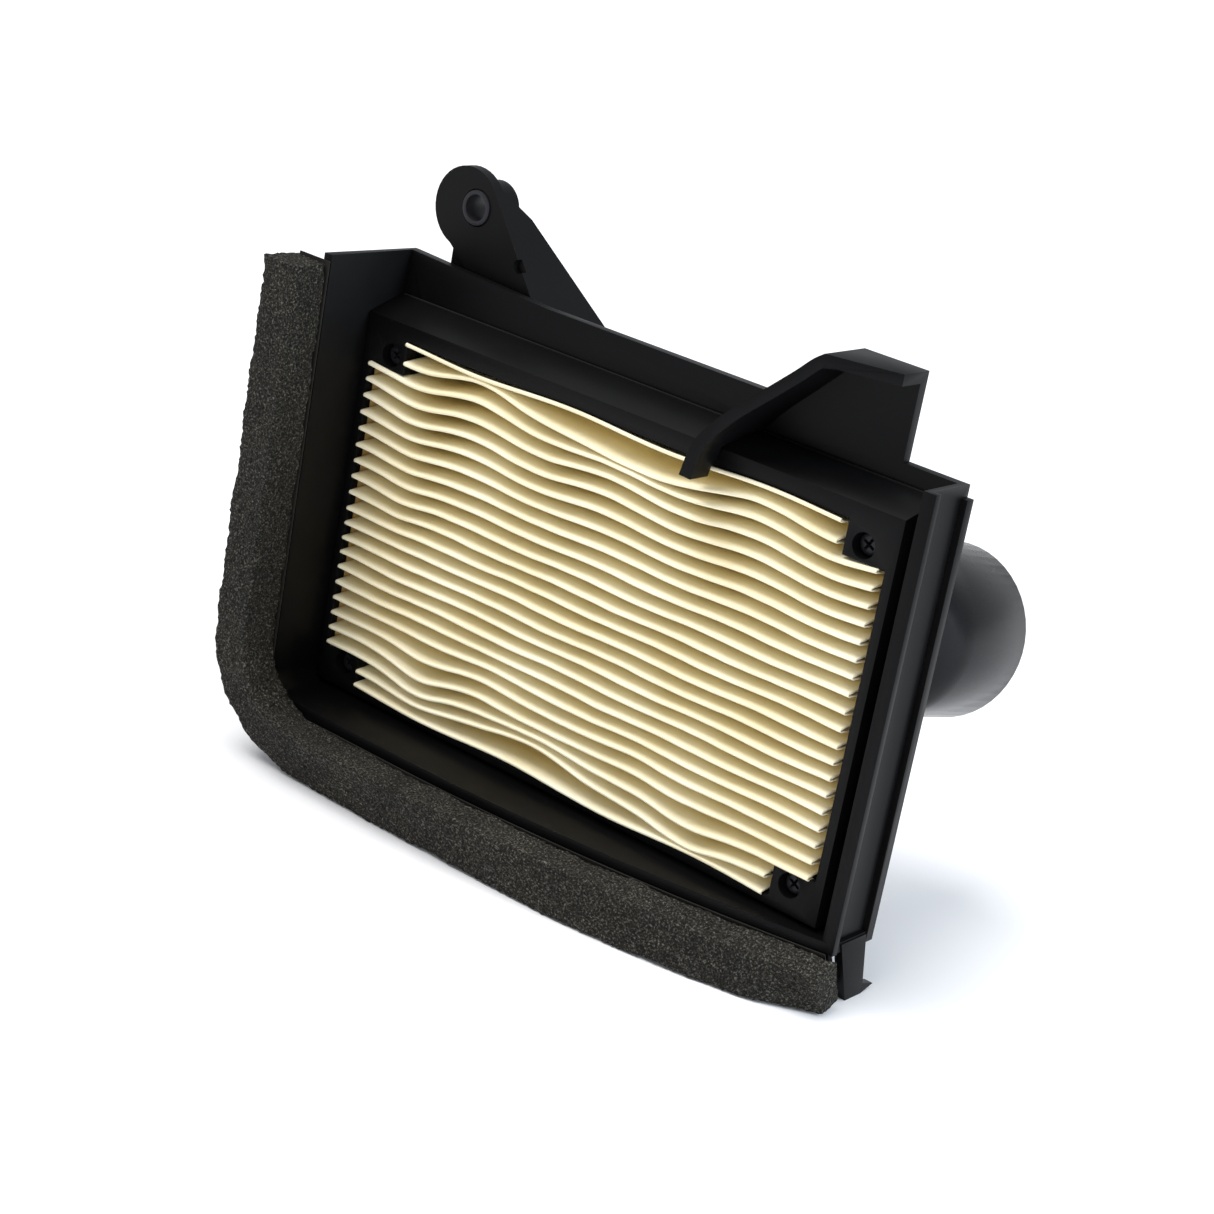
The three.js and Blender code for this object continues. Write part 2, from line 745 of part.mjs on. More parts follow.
// ---------------------------------------------------------------- outlet duct
// One turn of points round the duct's inside or outside at a place along it: 0 is the root, 1 the
// start of the round spigot.
const ductSides = 48;
function ductRing(step, inset, back = 0) {
  const root = new THREE.Vector3(media.width - duct.side, shellBox.back - shell.taper, duct.rise);
  const tilt = radians(duct.tilt);
  const axis = new THREE.Vector3(0, Math.cos(tilt), -Math.sin(tilt));
  const end = new THREE.Vector3(root.x + duct.shift, shellFront + duct.overhang, duct.rise - duct.fall);
  const start = end.clone().addScaledVector(axis, -duct.straight);
  const ease = step * step * (3 - 2 * step);
  const centre = root.clone().lerp(start, step);
  centre.x = THREE.MathUtils.lerp(root.x, start.x, ease);
  centre.z = THREE.MathUtils.lerp(root.z, start.z, ease);
  centre.addScaledVector(axis, back);
  const lean = tilt * ease;
  const corner = THREE.MathUtils.lerp(duct.rootRadius, duct.diameter / 2, ease) - inset;
  const half = THREE.MathUtils.lerp(duct.root, duct.diameter, ease) / 2 - inset;
  const flat = half - corner;
  return Array.from({ length: ductSides }, (_, i) => {
    const angle = ((i + 0.5) * 4 * quarter) / ductSides;
    const across = Math.cos(angle) * corner + Math.sign(Math.cos(angle)) * flat;
    const up = Math.sin(angle) * corner + Math.sign(Math.sin(angle)) * flat;
    return new THREE.Vector3(
      centre.x + across,
      centre.y + up * Math.sin(lean),
      centre.z + up * Math.cos(lean),
    );
  });
}

// A closed skin over a row of rings whose last ring joins the first again.
function ringSkin(rings) {
  const points = rings.flat();
  const index = [];
  for (let r = 0; r < rings.length; r += 1) {
    const here = r * ductSides;
    const next = ((r + 1) % rings.length) * ductSides;
    for (let i = 0; i < ductSides; i += 1) {
      const j = (i + 1) % ductSides;
      index.push(here + i, next + i, here + j, here + j, next + i, next + j);
    }
  }
  const geometry = new THREE.BufferGeometry().setFromPoints(points);
  geometry.setIndex(index);
  return solidOf(geometry);
}

function outletDuct() {
  const steps = [0, 0.2, 0.4, 0.6, 0.8, 1];
  const outside = [
    ...steps.map((step) => ductRing(step, 0)),
    ductRing(1, 0, duct.straight - 1.2),
    ductRing(1, 0.5, duct.straight),
  ];
  const inside = [...steps.map((step) => ductRing(step, duct.wall)), ductRing(1, duct.wall, duct.straight)];
  const skin = ringSkin([...outside, ...inside.reverse()]);
  const near = ductSeal + 2 * fitGap;
  const half = duct.root / 2 + ductFlange.width;
  const x = media.width - duct.side;
  const outline = roundedRectangle(
    x - half,
    x + half,
    duct.rise - half,
    duct.rise + half,
    duct.rootRadius + ductFlange.width,
  );
  const plate = slabXZ(outline, shellFront, shellBox.back + duct.overhang, 8);
  const hole = slabXZ(ductSection(duct.wall), shellFront - reach, shellBox.back + duct.overhang + reach, 8);
  const flangePlate = cut(plate, hole, behindShell(near + ductFlange.thickness));
  return joined(skin, flangePlate).intersect(behindShell(near));
}

function ductRingSeal() {
  const half = duct.root / 2 + ductFlange.width - fitGap;
  const x = media.width - duct.side;
  const radius = duct.rootRadius + ductFlange.width - fitGap;
  const outline = roundedRectangle(x - half, x + half, duct.rise - half, duct.rise + half, radius);
  const back = shellBox.back + reach;
  const hole = slabXZ(ductSection(duct.wall), shellFront - reach, back + reach, 8);
  const ring = cut(slabXZ(outline, shellFront, back, 8), hole);
  return cut(ring.intersect(behindShell(fitGap)), behindShell(fitGap + ductSeal));
}

// ---------------------------------------------------------------- foam seal
// A band in front of the flange, down the left side, round the corner and along the bottom.
function sealBand(width, near, far, inner) {
  const left = inner.x - width;
  const low = inner.z - width;
  const top = plateTopLeft - foam.topDrop;
  const side = box(left, inner.x, rimFront - far, rimFront - near, low + foam.cornerRadius - fitGap, top);
  const corner = stripCorner(width, inner, foam.cornerRadius, rimFront - far, rimFront - near);
  const bottom = hangingStrip(left + foam.cornerRadius - fitGap, -far, -near, low, inner.z);
  return joined(side, corner, bottom);
}

// ---------------------------------------------------------------- assembly
const model = new THREE.Group();
model.name = "air_filter";

function addPart(name, solid, look) {
  const mesh = new THREE.Mesh(geometryOf(solid), new THREE.MeshStandardMaterial(look));
  mesh.name = name;
  model.add(mesh);
}

addPart("front_tray", frontTray(), finish.plastic);
addPart("element_frame", elementFrame(), finish.plastic);
addPart("element_gasket", elementSeal(), finish.rubber);
addPart("pleated_media", pleatedMedia(), finish.paper);
addPart("pleat_glue_left", glueBead(-glue.width - fitGap), finish.glue);
addPart("pleat_glue_right", glueBead(media.width + fitGap), finish.glue);
for (const place of screws) addPart(place.name, panScrew(place), finish.steel);
addPart("shell_gasket", shellSeal(), finish.rubber);
addPart("rear_shell", rearShell(), finish.plastic);
addPart("ear_bush", earBush(), finish.steel);
addPart("duct_seal", ductRingSeal(), finish.rubber);
addPart("outlet_duct", outletDuct(), finish.gloss);
const sealInner = { x: leftInner, z: floorOuter };
const tapeFar = fitGap + tape.thickness;
addPart("foam_tape", sealBand(foam.width - tape.inset, fitGap, tapeFar, sealInner), finish.tape);
const foamNear = tapeFar + fitGap;
addPart("foam_seal", sealBand(foam.width, foamNear, foamNear + foam.thickness, sealInner), finish.foam);

const whole = new THREE.Box3().setFromObject(model);
const middle = whole.getCenter(new THREE.Vector3());
model.position.set(-middle.x, -middle.y, -whole.min.z);

export default model;
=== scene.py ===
import json
import math

import bmesh
import bpy
from mathutils import Matrix, Vector, noise


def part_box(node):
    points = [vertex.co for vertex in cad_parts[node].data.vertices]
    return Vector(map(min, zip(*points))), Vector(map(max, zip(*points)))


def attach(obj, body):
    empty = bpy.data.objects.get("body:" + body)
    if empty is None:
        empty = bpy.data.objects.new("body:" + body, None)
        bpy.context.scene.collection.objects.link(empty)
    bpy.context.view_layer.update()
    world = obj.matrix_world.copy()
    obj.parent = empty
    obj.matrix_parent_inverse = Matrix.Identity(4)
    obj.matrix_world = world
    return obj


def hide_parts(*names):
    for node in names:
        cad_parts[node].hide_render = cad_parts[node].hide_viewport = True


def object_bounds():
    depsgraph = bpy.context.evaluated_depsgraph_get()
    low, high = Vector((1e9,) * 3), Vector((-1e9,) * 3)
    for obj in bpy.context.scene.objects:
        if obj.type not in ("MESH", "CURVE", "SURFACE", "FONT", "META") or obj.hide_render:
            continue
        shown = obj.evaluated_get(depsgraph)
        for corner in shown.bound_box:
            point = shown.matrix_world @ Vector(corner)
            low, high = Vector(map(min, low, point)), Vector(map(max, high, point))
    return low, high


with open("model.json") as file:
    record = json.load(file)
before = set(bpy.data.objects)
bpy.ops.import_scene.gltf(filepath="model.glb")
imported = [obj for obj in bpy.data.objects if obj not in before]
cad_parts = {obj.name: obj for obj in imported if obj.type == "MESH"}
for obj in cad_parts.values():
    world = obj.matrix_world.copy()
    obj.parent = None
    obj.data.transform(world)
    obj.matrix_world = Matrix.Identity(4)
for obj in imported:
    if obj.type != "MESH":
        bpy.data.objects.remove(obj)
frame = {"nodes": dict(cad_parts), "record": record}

cad_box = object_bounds()

# ------------------------------------------------------------------ places, taken from the frame
MM = 0.001
datum = Vector(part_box("pleated_media")[0])  # lower left end of the pleat tips
media_size = (Vector(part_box("pleated_media")[1]) - datum) / MM
PLEATS = 22
WIDTH = media_size.x
DEPTH = media_size.y
HEIGHT = media_size.z
PITCH = HEIGHT / PLEATS


def at(x, y, z):
    """A place in millimetres from the lower left end of the pleat tips, in metres in the frame."""
    return datum + Vector((x, y, z)) * MM


def span(node):
    """A node's low and high corners, in millimetres from the same place."""
    low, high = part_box(node)
    return (Vector(low) - datum) / MM, (Vector(high) - datum) / MM


def smooth(a, b, x):
    t = min(max((x - a) / (b - a), 0.0), 1.0)
    return t * t * (3 - 2 * t)


def bump(x, centre, width):
    return math.exp(-(((x - centre) / width) ** 2))


# ------------------------------------------------------------------ camera
CAMERA = at(416.1, -454.0, 243.2)
LOOK = Vector((-0.5589, 0.7613, -0.3286)).normalized()
UPWARD = Vector((-0.3392, 0.1516, 0.9284))
LENS = 78.7  # mm, on a sensor 36 mm wide


def make_camera():
    data = bpy.data.cameras.new("photo_camera")
    data.lens = LENS
    data.sensor_width = 36
    camera = bpy.data.objects.new("photo_camera", data)
    bpy.context.scene.collection.objects.link(camera)
    right = LOOK.cross(UPWARD).normalized()
    up = right.cross(LOOK).normalized()
    turn = Matrix((right, up, -LOOK)).transposed().to_4x4()
    camera.matrix_world = Matrix.Translation(CAMERA) @ turn
    data.clip_start = 0.01
    data.clip_end = 20
    bpy.context.scene.camera = camera


# ------------------------------------------------------------------ mesh helpers
def new_object(name, verts, faces, smooth_shading=True):
    mesh = bpy.data.meshes.new(name)
    mesh.from_pydata([tuple(v) for v in verts], [], faces)
    mesh.update()
    if smooth_shading:
        mesh.polygons.foreach_set("use_smooth", [True] * len(mesh.polygons))
    obj = bpy.data.objects.new(name, mesh)
    bpy.context.scene.collection.objects.link(obj)
    return obj


def face_outward(obj):
    bm = bmesh.new()
    bm.from_mesh(obj.data)
    bmesh.ops.recalc_face_normals(bm, faces=bm.faces)
    bm.to_mesh(obj.data)
    bm.free()


# ------------------------------------------------------------------ pleated paper
PAPER_TRIM = 1.2  # the sheet ends this far short of the media box
SHEET = 0.36  # thickness
TIP_RADIUS = 0.32  # of the fold, in the middle of the sheet
TIP_STEPS = 5
WALL_DEPTHS = (4.0, 8.0, 12.0, 17.0, DEPTH - 1.0)  # where a pleat's wall has its rows of points
COLUMNS = 300
NOTCH_WIDTH = 11.0  # the corners cut away for the screws
NOTCH_HEIGHT = 6.9
# Places where the folds wander up (+) or down (-): X, half width, fold number, reach in folds, mm.
WANDER = [
    (35, 12, 1.0, 1.3, 1.9),
    (82, 20, 1.0, 0.9, -3.2),
    (116, 9, 1.2, 1.2, 0.7),
    (137, 9, 1.3, 1.6, -0.7),
    (17, 8, 7.0, 6.0, -0.9),
    (31, 10, 19.5, 1.9, -2.5),
    (67, 17, 21.1, 0.9, 3.2),
    (68, 15, 19.9, 0.6, 0.8),
    (115, 11, 20.7, 1.3, -2.5),
    (98, 8, 18.5, 1.5, 0.7),
    (50, 9, 17.8, 1.5, 0.8),
]


def fold_height(x, fold):
    """Height of a fold line, counted from the top, at a place along it, above the media's lower end."""
    drift = sum(a * bump(x, cx, w) * bump(fold, cf, reach) for cx, w, cf, reach, a in WANDER)
    drift += 0.75 * math.cos(2 * math.pi * (x - 36) / 41) * bump(fold, 3.6, 3.0)
    drift += 0.2 * math.cos(2 * math.pi * (x - 50) / 37 + fold) * bump(fold, 13, 7)
    drift -= 0.55 * bump(fold, 9.5, 5.5)
    drift += 0.1 * noise.noise(Vector((x * 0.16, fold * 1.7, 3.1)))
    edge = smooth(0, 1, fold) * smooth(0, 1, PLEATS - fold)
    rest = 0.5 * math.sin(x * 0.11 + 1.0) * (1 - edge) - 0.3 * (1 - smooth(0, 2, fold))
    return HEIGHT - fold * PITCH + drift * edge + rest


def make_pleats():
    """The folded sheet: one even skin over a zigzag whose folds wander, cut away at the corners."""
    profile = []  # (fold position, depth, round offset up) along the zigzag from the top
    for fold in range(PLEATS + 1):
        for k in range(TIP_STEPS):
            turn = math.pi * (k / (TIP_STEPS - 1))
            profile.append((fold, TIP_RADIUS * (1 - math.sin(turn)), TIP_RADIUS * math.cos(turn)))
        if fold < PLEATS:
            for depth in WALL_DEPTHS:
                share = depth / DEPTH
                profile.append((fold + 0.5 * share, depth, -TIP_RADIUS * (1 - share)))
            for depth in reversed(WALL_DEPTHS):
                share = depth / DEPTH
                profile.append((fold + 1 - 0.5 * share, depth, TIP_RADIUS * (1 - share)))
    verts = []
    for fold, depth, lift in profile:
        for i in range(COLUMNS + 1):
            x = (WIDTH - PAPER_TRIM) * i / COLUMNS
            front = 0.35 * noise.noise(Vector((x * 0.05, round(fold) * 3.7, 8.0))) + 0.35
            wave = 0.12 * noise.noise(Vector((x * 0.09, fold * 1.3, depth * 0.12)))
            z = fold_height(x, fold) + lift + wave * smooth(0, 4, depth)
            verts.append(at(x, max(depth, 0) + front * (1 - smooth(0, 6, depth)), z))
    faces = []
    for r in range(len(profile) - 1):
        middle = (profile[r][0] + profile[r + 1][0]) / 2
        height = HEIGHT - middle * PITCH
        at_corner = height > HEIGHT - NOTCH_HEIGHT or height < NOTCH_HEIGHT
        for i in range(COLUMNS):
            x = WIDTH * (i + 0.5) / COLUMNS
            if at_corner and (x < NOTCH_WIDTH or x > WIDTH - NOTCH_WIDTH):
                continue
            a = r * (COLUMNS + 1) + i
            faces.append((a, a + COLUMNS + 1, a + COLUMNS + 2, a + 1))
    paper = new_object("paper_pleats", verts, faces)
    # Painted shade: a factor from 0 at the fold tips to 1 deep in each valley, which the paper's material
    # uses to darken the valleys where shade falls.
    shade = paper.data.attributes.new("painted_valley_shade", "FLOAT", "POINT")
    for r, (_, depth, _) in enumerate(profile):
        for i in range(COLUMNS + 1):
            shade.data[r * (COLUMNS + 1) + i].value = smooth(0.4, 9, depth)
    bm = bmesh.new()
    bm.from_mesh(paper.data)
    loose = [v for v in bm.verts if not v.link_faces]
    bmesh.ops.delete(bm, geom=loose, context="VERTS")
    bm.to_mesh(paper.data)
    bm.free()
    skin = paper.modifiers.new("sheet", "SOLIDIFY")
    skin.thickness = SHEET * MM
    skin.offset = 0
    return paper


# ------------------------------------------------------------------ foam band
foam_low, foam_high = span("foam_seal")
FOAM_INNER = foam_low.x + 10.6  # X of the leg's inner side
FOAM_OUTER = foam_low.x - 0.3
FOAM_FRONT = foam_low.y - 0.2
FOAM_BACK = foam_low.y + 10.3
FOAM_TOP = foam_high.z - 0.8
FOAM_END = foam_high.x + 0.366
FOAM_ROUND = 31.0  # outer corner radius
FOAM_UPPER = foam_low.z + 10.8  # Z of the bottom run's upper side
FOAM_LOWER = foam_low.z - 2.5
FOAM_STRAIGHT = 40.0  # the run curves back to the right of this X
FOAM_EDGE_RADIUS = 0.7
LEG_STEPS = 116
BEND_STEPS = 52
RUN_STEPS = 182
CAP_SHARES = (0.93, 0.8, 0.65, 0.5, 0.35, 0.2, 0.08)  # rings that close an end, as shares of its section
# X and Y along the lower front edge of the bottom run
FOAM_EDGE = [(16.9, -19.6), (34, -20), (67, -20.5), (98, -19.5), (124, -16), (147, -10), (160.4, -1.2)]


def along_edge(x):
    """Y of the lower front edge."""
    for (xa, ya), (xb, yb) in zip(FOAM_EDGE, FOAM_EDGE[1:]):
        if x <= xb:
            return ya + (yb - ya) * (x - xa) / (xb - xa)
    return FOAM_EDGE[-1][1]


def foam_stations():
    """Corner points of the band's cross sections: inner back, inner front, outer front, outer back."""
    centre_x = FOAM_OUTER + FOAM_ROUND
    centre_z = FOAM_LOWER + FOAM_ROUND
    stations = []
    for i in range(LEG_STEPS):
        z = FOAM_TOP + (centre_z - FOAM_TOP) * i / LEG_STEPS
        stations.append([
            Vector((FOAM_INNER, FOAM_BACK, z)),
            Vector((FOAM_INNER, FOAM_FRONT, z)),
            Vector((FOAM_OUTER, FOAM_FRONT + 0.8, z)),
            Vector((FOAM_OUTER, FOAM_BACK, z)),
        ])
    for i in range(BEND_STEPS):
        share = i / BEND_STEPS
        turn = share * math.pi / 2
        out = Vector((-math.cos(turn), 0, -math.sin(turn)))
        hub = Vector((centre_x, 0, centre_z))
        ease = smooth(0, 1, share)
        inner = (centre_x - FOAM_INNER) * (1 - ease) + (centre_z - FOAM_UPPER) * ease
        pinch = 1.5 * bump(share, 0.42, 0.09)
        front = FOAM_FRONT + 0.8 + (FOAM_EDGE[0][1] - FOAM_FRONT - 0.8) * ease
        stations.append([
            hub + out * inner + Vector((0, FOAM_BACK, 0)),
            hub + out * (inner + 0.7 * pinch) + Vector((0, FOAM_FRONT + pinch, 0)),
            hub + out * FOAM_ROUND + Vector((0, front, 0)),
            hub + out * (FOAM_ROUND - 1.5 * ease) + Vector((0, FOAM_BACK, 0)),
        ])
    for i in range(RUN_STEPS + 1):
        x = centre_x + (FOAM_END - centre_x) * i / RUN_STEPS
        share = max(x - FOAM_STRAIGHT, 0) / (FOAM_END - FOAM_STRAIGHT)
        back = FOAM_BACK * (1 - share ** 2)
        upper = FOAM_UPPER - 0.4 * share
        lower = FOAM_LOWER + 0.3 * share
        stations.append([
            Vector((x, back, upper)),
            Vector((x, back - 10.5 + 3.6 * share, upper - 3.1 * share ** 2)),
            Vector((x, along_edge(x), lower)),
            Vector((x, back + 4.2 * share, lower + 1.5 + 0.5 * share)),
        ])
    return stations


def rounded_section(corners, radius, side_steps, corner_steps):
    """Points round a four-cornered section with its corners rounded."""
    points = []
    for k in range(4):
        here = corners[k]
        into = (corners[k - 1] - here).normalized()
        onward = (corners[(k + 1) % 4] - here).normalized()
        start = here + into * radius
        stop = here + onward * radius
        for j in range(corner_steps):
            t = j / corner_steps
            points.append(start * (1 - t) ** 2 + here * 2 * t * (1 - t) + stop * t ** 2)
        far = corners[(k + 1) % 4] - onward * radius
        for j in range(side_steps):
            points.append(stop.lerp(far, j / side_steps))
    return points


def foam_relief(point):
    """How far the surface stands out at a point: fine cells and slow unevenness, in millimetres."""
    cells = noise.noise(point * 0.95) * 0.42 + noise.noise(point * 2.1) * 0.25
    return cells + noise.noise(point * 0.13 + Vector((5, 2, 9))) * 0.55


def make_foam():
    rings = []
    for corners in foam_stations():
        ring = rounded_section(corners, FOAM_EDGE_RADIUS, side_steps=15, corner_steps=3)
        middle = sum(ring, Vector()) / len(ring)
        rings.append([p + (p - middle).normalized() * foam_relief(p) for p in ring])
    count = len(rings[0])
    for ends, step in ((0, 1), (-1, -1)):
        edge = rings[ends]
        middle = sum(edge, Vector()) / count
        away = (middle - sum(rings[ends + step], Vector()) / count).normalized()
        for share in CAP_SHARES:
            inward = [middle.lerp(p, share) for p in edge]
            ring = [p + away * (0.5 * (1 - share) + 0.5 * foam_relief(p)) for p in inward]
            if step == 1:
                rings.insert(0, ring)
            else:
                rings.append(ring)
    verts = [at(*p) for ring in rings for p in ring]
    faces = []
    for r in range(len(rings) - 1):
        for i in range(count):
            j = (i + 1) % count
            a, b = r * count, (r + 1) * count
            faces.append((a + i, a + j, b + j, b + i))
    faces.append(tuple(range(count))[::-1])
    faces.append(tuple((len(rings) - 1) * count + i for i in range(count)))
    foam = new_object("foam_band", verts, faces)
    face_outward(foam)
    return foam


# ------------------------------------------------------------------ screws
RECESS_ARM = 1.65
RECESS_HALF_WIDTH = 0.36
RECESS_DEPTH = 1.5
SHANK = 1.4  # radius


def lathe(profile, centre, segments=56):
    """A closed turned body about an axis along Y: profile is (radius, distance behind the front)."""
    verts = []
    for radius, back in profile:
        for i in range(segments):
            turn = 2 * math.pi * i / segments
            x = centre.x + radius * math.cos(turn)
            z = centre.z + radius * math.sin(turn)
            verts.append(at(x, centre.y + back, z))
    faces = []
    for r in range(len(profile) - 1):
        for i in range(segments):
            j = (i + 1) % segments
            a, b = r * segments, (r + 1) * segments
            faces.append((a + i, b + i, b + j, a + j))
    faces.append(tuple(range(segments)))
    faces.append(tuple((len(profile) - 1) * segments + i for i in range(segments))[::-1])
    return verts, faces


def cross_cutter(centre):
    """A tapered cross that sinks the driver recess."""
    arm, half = RECESS_ARM, RECESS_HALF_WIDTH
    quarter = [(arm, half), (half, half), (half, arm)]
    outline = quarter + [(-x, z) for x, z in reversed(quarter)]
    outline += [(-x, -z) for x, z in outline]
    verts = []
    for back, share in ((-0.6, 1.2), (RECESS_DEPTH, 0.45)):
        for x, z in outline:
            turned = Vector((x * share, z * share)) @ Matrix.Rotation(0.5, 2)
            verts.append(at(centre.x + turned.x, centre.y + back, centre.z + turned.y))
    n = len(outline)
    faces = [(i, (i + 1) % n, n + (i + 1) % n, n + i) for i in range(n)]
    faces.append(tuple(range(n))[::-1])
    faces.append(tuple(range(n, 2 * n)))
    return new_object("recess_cutter", verts, faces, False)


def make_screw(node):
    low, high = span(node)
    centre = Vector(((low.x + high.x) / 2, low.y, (low.z + high.z) / 2))
    head = (high.x - low.x) / 2
    length = high.y - low.y
    profile = [
        (0.4, 0),
        (head * 0.6, 0.02),
        (head * 0.8, 0.12),
        (head * 0.93, 0.35),
        (head * 0.99, 0.75),
        (head, 1.1),
        (head, 2.0),
        (head * 0.95, 2.15),
        (SHANK + 0.15, 2.2),
        (SHANK, 2.35),
        (SHANK, length - 0.9),
        (SHANK - 0.4, length),
    ]
    verts, faces = lathe(profile, centre)
    screw = new_object("recessed_" + node, verts, faces)
    cutter = cross_cutter(centre)
    face_outward(screw)
    face_outward(cutter)
    sink = screw.modifiers.new("recess", "BOOLEAN")
    sink.operation = "DIFFERENCE"
    sink.object = cutter
    bpy.context.view_layer.update()
    depsgraph = bpy.context.evaluated_depsgraph_get()
    shaped = bpy.data.meshes.new_from_object(screw.evaluated_get(depsgraph))
    screw.modifiers.clear()
    screw.data = shaped
    bpy.data.objects.remove(cutter)
    smooth_by_angle(screw)
    return screw


# ------------------------------------------------------------------ edges of the moulded parts
def angle_group():
    """A modifier that shades smooth everywhere but across edges sharper than a set angle."""
    group = bpy.data.node_groups.new("smooth_below_angle", "GeometryNodeTree")
    group.interface.new_socket("Geometry", in_out="INPUT", socket_type="NodeSocketGeometry")
    group.interface.new_socket("Geometry", in_out="OUTPUT", socket_type="NodeSocketGeometry")
    source = group.nodes.new("NodeGroupInput")
    result = group.nodes.new("NodeGroupOutput")
    faces = group.nodes.new("GeometryNodeSetShadeSmooth")
    edges = group.nodes.new("GeometryNodeSetShadeSmooth")
    edges.domain = "EDGE"
    edges.inputs["Shade Smooth"].default_value = False
    angle = group.nodes.new("GeometryNodeInputMeshEdgeAngle")
    sharp = group.nodes.new("FunctionNodeCompare")
    sharp.operation = "GREATER_THAN"
    sharp.inputs["B"].default_value = math.radians(32)
    group.links.new(angle.outputs["Unsigned Angle"], sharp.inputs["A"])
    group.links.new(sharp.outputs["Result"], edges.inputs["Selection"])
    group.links.new(source.outputs[0], faces.inputs["Geometry"])
    group.links.new(faces.outputs[0], edges.inputs["Geometry"])
    group.links.new(edges.outputs[0], result.inputs[0])
    return group


ANGLE_GROUP = angle_group()


def smooth_by_angle(obj):
    obj.modifiers.new("shading", "NODES").node_group = ANGLE_GROUP


def finish_edges(obj, width=0.0, segments=2):
    """Merge the CAD triangles, round sharp edges by any width given, and shade the curves smooth."""
    weld = obj.modifiers.new("weld", "WELD")
    weld.merge_threshold = 0.00001
    if width:
        flat = obj.modifiers.new("flat", "DECIMATE")
        flat.decimate_type = "DISSOLVE"
        flat.angle_limit = math.radians(0.6)
        edge = obj.modifiers.new("edges", "BEVEL")
        edge.width = width * MM
        edge.segments = segments
        edge.limit_method = "ANGLE"
        edge.angle_limit = math.radians(35)
        edge.use_clamp_overlap = True
    smooth_by_angle(obj)


# ------------------------------------------------------------------ materials
def node_material(name):
    material = bpy.data.materials.new(name)
    material.use_nodes = True
    tree = material.node_tree
    return material, tree, tree.nodes["Principled BSDF"]


def add(tree, kind, **settings):
    node = tree.nodes.new(kind)
    for key, value in settings.items():
        setattr(node, key, value)
    return node


def noise_texture(tree, scale, detail=2.0, rough=0.5):
    where = add(tree, "ShaderNodeTexCoord")
    texture = add(tree, "ShaderNodeTexNoise")
    texture.inputs["Scale"].default_value = scale
    texture.inputs["Detail"].default_value = detail
    texture.inputs["Roughness"].default_value = rough
    tree.links.new(where.outputs["Object"], texture.inputs["Vector"])
    return texture


def ramp(tree, source, stops):
    node = add(tree, "ShaderNodeValToRGB")
    first, second = node.color_ramp.elements
    first.position, first.color = stops[0][0], (*stops[0][1], 1)
    second.position, second.color = stops[-1][0], (*stops[-1][1], 1)
    for place, colour in stops[1:-1]:
        extra = node.color_ramp.elements.new(place)
        extra.color = (*colour, 1)
    tree.links.new(source, node.inputs["Fac"])
    return node


def bump_node(tree, source, strength, distance):
    node = add(tree, "ShaderNodeBump")
    node.inputs["Strength"].default_value = strength
    node.inputs["Distance"].default_value = distance
    tree.links.new(source, node.inputs["Height"])
    return node


def value_range(tree, source, low, high):
    node = add(tree, "ShaderNodeMapRange")
    node.inputs["To Min"].default_value = low
    node.inputs["To Max"].default_value = high
    tree.links.new(source, node.inputs["Value"])
    return node


def paper_material():
    material, tree, surface = node_material("filter_paper")
    fibres = noise_texture(tree, 1300, 4, 0.65)
    crinkle = noise_texture(tree, 210, 3, 0.55)
    clouds = noise_texture(tree, 45, 3, 0.5)
    crest = ramp(tree, clouds.outputs["Fac"], [(0.3, (0.90, 0.81, 0.56)), (0.7, (0.97, 0.91, 0.71))])
    # Painted shade: a darker olive copy of the paper's tone, laid on deep in the valleys by the factor
    # that make_pleats stores.
    painted_valley_shade = ramp(tree, clouds.outputs["Fac"], [(0.3, (0.76, 0.62, 0.29)), (0.7, (0.86, 0.73, 0.40))])
    depth = add(tree, "ShaderNodeAttribute", attribute_name="painted_valley_shade")
    blend = add(tree, "ShaderNodeMix", data_type="RGBA")
    tree.links.new(depth.outputs["Fac"], blend.inputs["Factor"])
    tree.links.new(crest.outputs["Color"], blend.inputs[6])
    tree.links.new(painted_valley_shade.outputs["Color"], blend.inputs[7])
    tree.links.new(blend.outputs[2], surface.inputs["Base Color"])
    rough = value_range(tree, fibres.outputs["Fac"], 0.78, 0.95)
    tree.links.new(rough.outputs["Result"], surface.inputs["Roughness"])
    surface.inputs["Specular IOR Level"].default_value = 0.2
    fine = bump_node(tree, fibres.outputs["Fac"], 0.25, 0.0002)
    relief = bump_node(tree, crinkle.outputs["Fac"], 0.35, 0.0006)
    tree.links.new(fine.outputs["Normal"], relief.inputs["Normal"])
    tree.links.new(relief.outputs["Normal"], surface.inputs["Normal"])
    return material


def plain_material(name, tone, low, high, specular, metallic=0.0, grain_scale=1400, grain=0.12):
    """A solid finish: patchy tone and roughness (low to high) over a fine moulded or brushed grain."""
    material, tree, surface = node_material(name)
    fine = noise_texture(tree, grain_scale, 3, 0.6)
    patches = noise_texture(tree, 34, 4, 0.6)
    tint = ramp(tree, patches.outputs["Fac"], [(0.35, tone), (0.75, tuple(1.6 * c for c in tone))])
    tree.links.new(tint.outputs["Color"], surface.inputs["Base Color"])
    rough = value_range(tree, patches.outputs["Fac"], low, high)
    tree.links.new(rough.outputs["Result"], surface.inputs["Roughness"])
    relief = bump_node(tree, fine.outputs["Fac"], grain, 0.0001)
    tree.links.new(relief.outputs["Normal"], surface.inputs["Normal"])
    surface.inputs["Specular IOR Level"].default_value = specular
    surface.inputs["Metallic"].default_value = metallic
    return material


